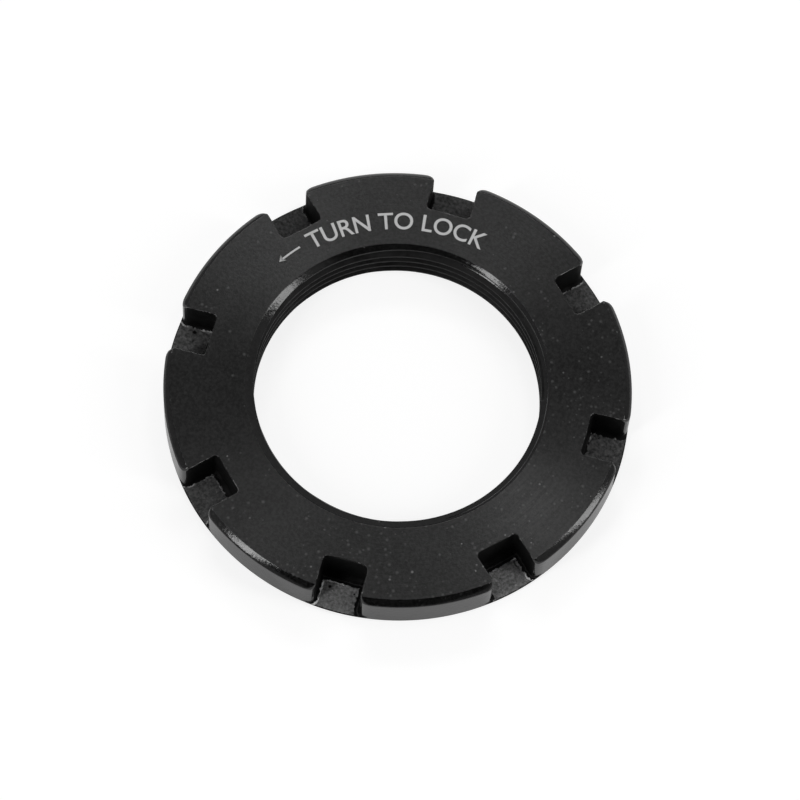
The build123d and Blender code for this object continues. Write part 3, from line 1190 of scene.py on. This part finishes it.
def floor_material(settings):
    """Pale floor that looks white and keeps a soft shadow, and can be seen through from below."""
    material = bpy.data.materials.new("Pale floor")
    material.use_nodes = True
    nodes = Nodes(material.node_tree)
    nodes.tree.nodes.clear()
    grain = nodes.noise(nodes.point(), 40.0, 3.0)
    paint = nodes.blend(grain, shade(settings.floor_colour), shade(settings.floor_colour, 1.02))
    diffuse = nodes.add("BsdfDiffuse", {"Color": paint}).outputs[0]

    # Seen straight on, most of the white is the floor's own, and the rest carries the shadow
    white = nodes.add("Emission", {"Color": grey(settings.white_share), "Strength": 1.0}).outputs[0]
    shaded = nodes.add("BsdfDiffuse", {"Color": grey(settings.shadow_share)}).outputs[0]
    pale = nodes.add("AddShader", {0: white, 1: shaded}).outputs[0]
    path = nodes.add("LightPath").outputs
    mirrored = nodes.times(path["Is Glossy Ray"], settings.mirrored_share)
    seen = nodes.largest(path["Is Camera Ray"], mirrored, path["Is Transmission Ray"])
    look = nodes.add("MixShader", {0: seen, 1: diffuse, 2: pale}).outputs[0]
    below = nodes.add("NewGeometry").outputs["Backfacing"]
    clear = nodes.add("BsdfTransparent").outputs[0]
    both = nodes.add("MixShader", {0: below, 1: look, 2: clear}).outputs[0]
    nodes.add("OutputMaterial", {"Surface": both})
    return material


def studio_way(settings, around, above):
    """The direction so many degrees anticlockwise from the picture's right and so many above the floor."""
    a, e = math.radians(around) + settings.camera_azimuth, math.radians(above)
    return Vector((math.cos(a) * math.cos(e), math.sin(a) * math.cos(e), math.sin(e)))


def soft_lamp(settings, name, around, above, distance, wide, tall, bright):
    """A soft lamp of some size in metres that shines at the ring. Bright is how bright it looks."""
    way = studio_way(settings, around, above)
    data = bpy.data.lights.new(name, "AREA")
    data.shape = "RECTANGLE"
    data.size, data.size_y = wide, tall
    data.energy = math.pi * wide * tall * bright * settings.lamp_level
    facing = (-way).to_track_quat("-Z", "Y").to_matrix().to_4x4()
    place_object(name, data).matrix_world = Matrix.Translation(way * distance) @ facing


def studio_world(settings):
    """A pale room, with calm dark parts above the ring and low down on the camera's side."""
    world = bpy.data.worlds.new("Studio room")
    world.use_nodes = True
    nodes = Nodes(world.node_tree)
    way = nodes.add("TexCoord").outputs["Generated"]
    height = nodes.add("SeparateXYZ", {0: way}).outputs["Z"]
    room = nodes.blend(nodes.remap(height, 0.75, 0.92), grey(settings.low_level), grey(settings.high_level))

    # Round parts of the room: where they are, how wide, how wide their soft edge and how bright
    for around, above, wide, soft, bright in ((90, 68, 36, 14, settings.face_level),
                                              (-90, 41, 31, 10, settings.dark_level)):
        facing = nodes.vectors("DOT_PRODUCT", way, tuple(studio_way(settings, around, above)))["Value"]
        inner, outer = math.cos(math.radians(wide)), math.cos(math.radians(wide + soft))
        room = nodes.blend(nodes.remap(facing, outer, inner), room, grey(bright))
    room = nodes.blend(nodes.add("LightPath").outputs["Is Camera Ray"], room, grey(1.0))
    nodes.feed(nodes.tree.nodes["Background"].inputs["Color"], room)
    return world


def studio_camera(settings):
    """The camera at the photograph's viewing angle."""
    data = bpy.data.cameras.new("studio_camera")
    data.lens = settings.camera_lens
    data.sensor_width = 36.0
    data.clip_start, data.clip_end = 0.01, 50.0
    a, e, roll = settings.camera_azimuth, settings.camera_elevation, settings.camera_roll
    back = Vector((math.sin(a) * math.cos(e), -math.cos(a) * math.cos(e), math.sin(e)))
    right = Vector((math.cos(a), math.sin(a), 0.0))
    up = back.cross(right)
    across = math.cos(roll) * right + math.sin(roll) * up
    upright = math.cos(roll) * up - math.sin(roll) * right
    turned = Matrix((across, upright, back)).transposed().to_4x4()
    place = Vector(settings.camera_aim) + back * settings.camera_distance
    camera = place_object("studio_camera", data)
    camera.matrix_world = Matrix.Translation(place) @ turned
    return camera


# Operators, panel and registration

class LOCKRING_OT_steel_ring(Operator):
    """Builds the slotted steel ring with its thread and finishes"""
    bl_idname = "lock_ring.steel_ring"
    bl_label = "Steel ring"

    def execute(self, context):
        scene = context.scene
        size, finish = scene.lock_ring_sizes, scene.lock_ring_finish
        materials = [turned_oxide(finish, FACE_LOOK, finish.face_roughness, finish.face_stretch),
                     turned_oxide(finish, RIM_LOOK, finish.rim_roughness, 0.0),
                     slot_wall_oxide(finish), forged_scale(finish, size), cut_thread(finish)]
        ring = ring_mesh(size, materials, scene.lock_ring_marking.thickness)
        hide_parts("lock_ring")
        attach(ring, "root")
        return {"FINISHED"}


class LOCKRING_OT_marking(Operator):
    """Builds the pale words and arrow on the upper face"""
    bl_idname = "lock_ring.marking"
    bl_label = "Marking"

    def execute(self, context):
        scene = context.scene
        settings = scene.lock_ring_marking
        marking = marking_mesh(settings, scene.lock_ring_sizes.height, pale_marking(settings))
        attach(marking, "root")
        return {"FINISHED"}


class LOCKRING_OT_stage(Operator):
    """Builds the floor, the lights, the room and the camera"""
    bl_idname = "lock_ring.stage"
    bl_label = "Stage"

    def execute(self, context):
        scene = context.scene
        settings = scene.lock_ring_stage
        floor = floor_piece(settings)
        for lamp in LAMPS:
            soft_lamp(settings, *lamp)
        scene.world = studio_world(settings)
        scene.camera = studio_camera(settings)
        scene.view_settings.view_transform = "Standard"
        return {"FINISHED"}


class LOCKRING_PT_panel(Panel):
    """Sizes and builders of the lock ring"""
    bl_idname = "LOCKRING_PT_panel"
    bl_label = "Lock ring"
    bl_space_type = "VIEW_3D"
    bl_region_type = "UI"
    bl_category = "Lock Ring"

    def draw(self, context):
        for group, operator in PANEL_ROWS:
            box = self.layout.box()
            settings = getattr(context.scene, group)
            for key in settings.__annotations__:
                box.prop(settings, key)
            if operator:
                box.operator(operator)


PANEL_ROWS = (
    ("lock_ring_sizes", None),
    ("lock_ring_finish", LOCKRING_OT_steel_ring.bl_idname),
    ("lock_ring_marking", LOCKRING_OT_marking.bl_idname),
    ("lock_ring_stage", LOCKRING_OT_stage.bl_idname),
)

SETTINGS = {
    "lock_ring_sizes": RingSizes,
    "lock_ring_finish": RingFinish,
    "lock_ring_marking": MarkingSettings,
    "lock_ring_stage": StageSettings,
}

CLASSES = (*SETTINGS.values(), LOCKRING_OT_steel_ring, LOCKRING_OT_marking, LOCKRING_OT_stage,
           LOCKRING_PT_panel)


def register():
    for item in CLASSES:
        bpy.utils.register_class(item)
    for name, group in SETTINGS.items():
        setattr(bpy.types.Scene, name, PointerProperty(type=group))


def unregister():
    for name in SETTINGS:
        delattr(bpy.types.Scene, name)
    for item in reversed(CLASSES):
        bpy.utils.unregister_class(item)


def main():
    register()
    bpy.ops.lock_ring.steel_ring()
    bpy.ops.lock_ring.marking()
    bpy.ops.lock_ring.stage()


if __name__ == "__main__":
    main()
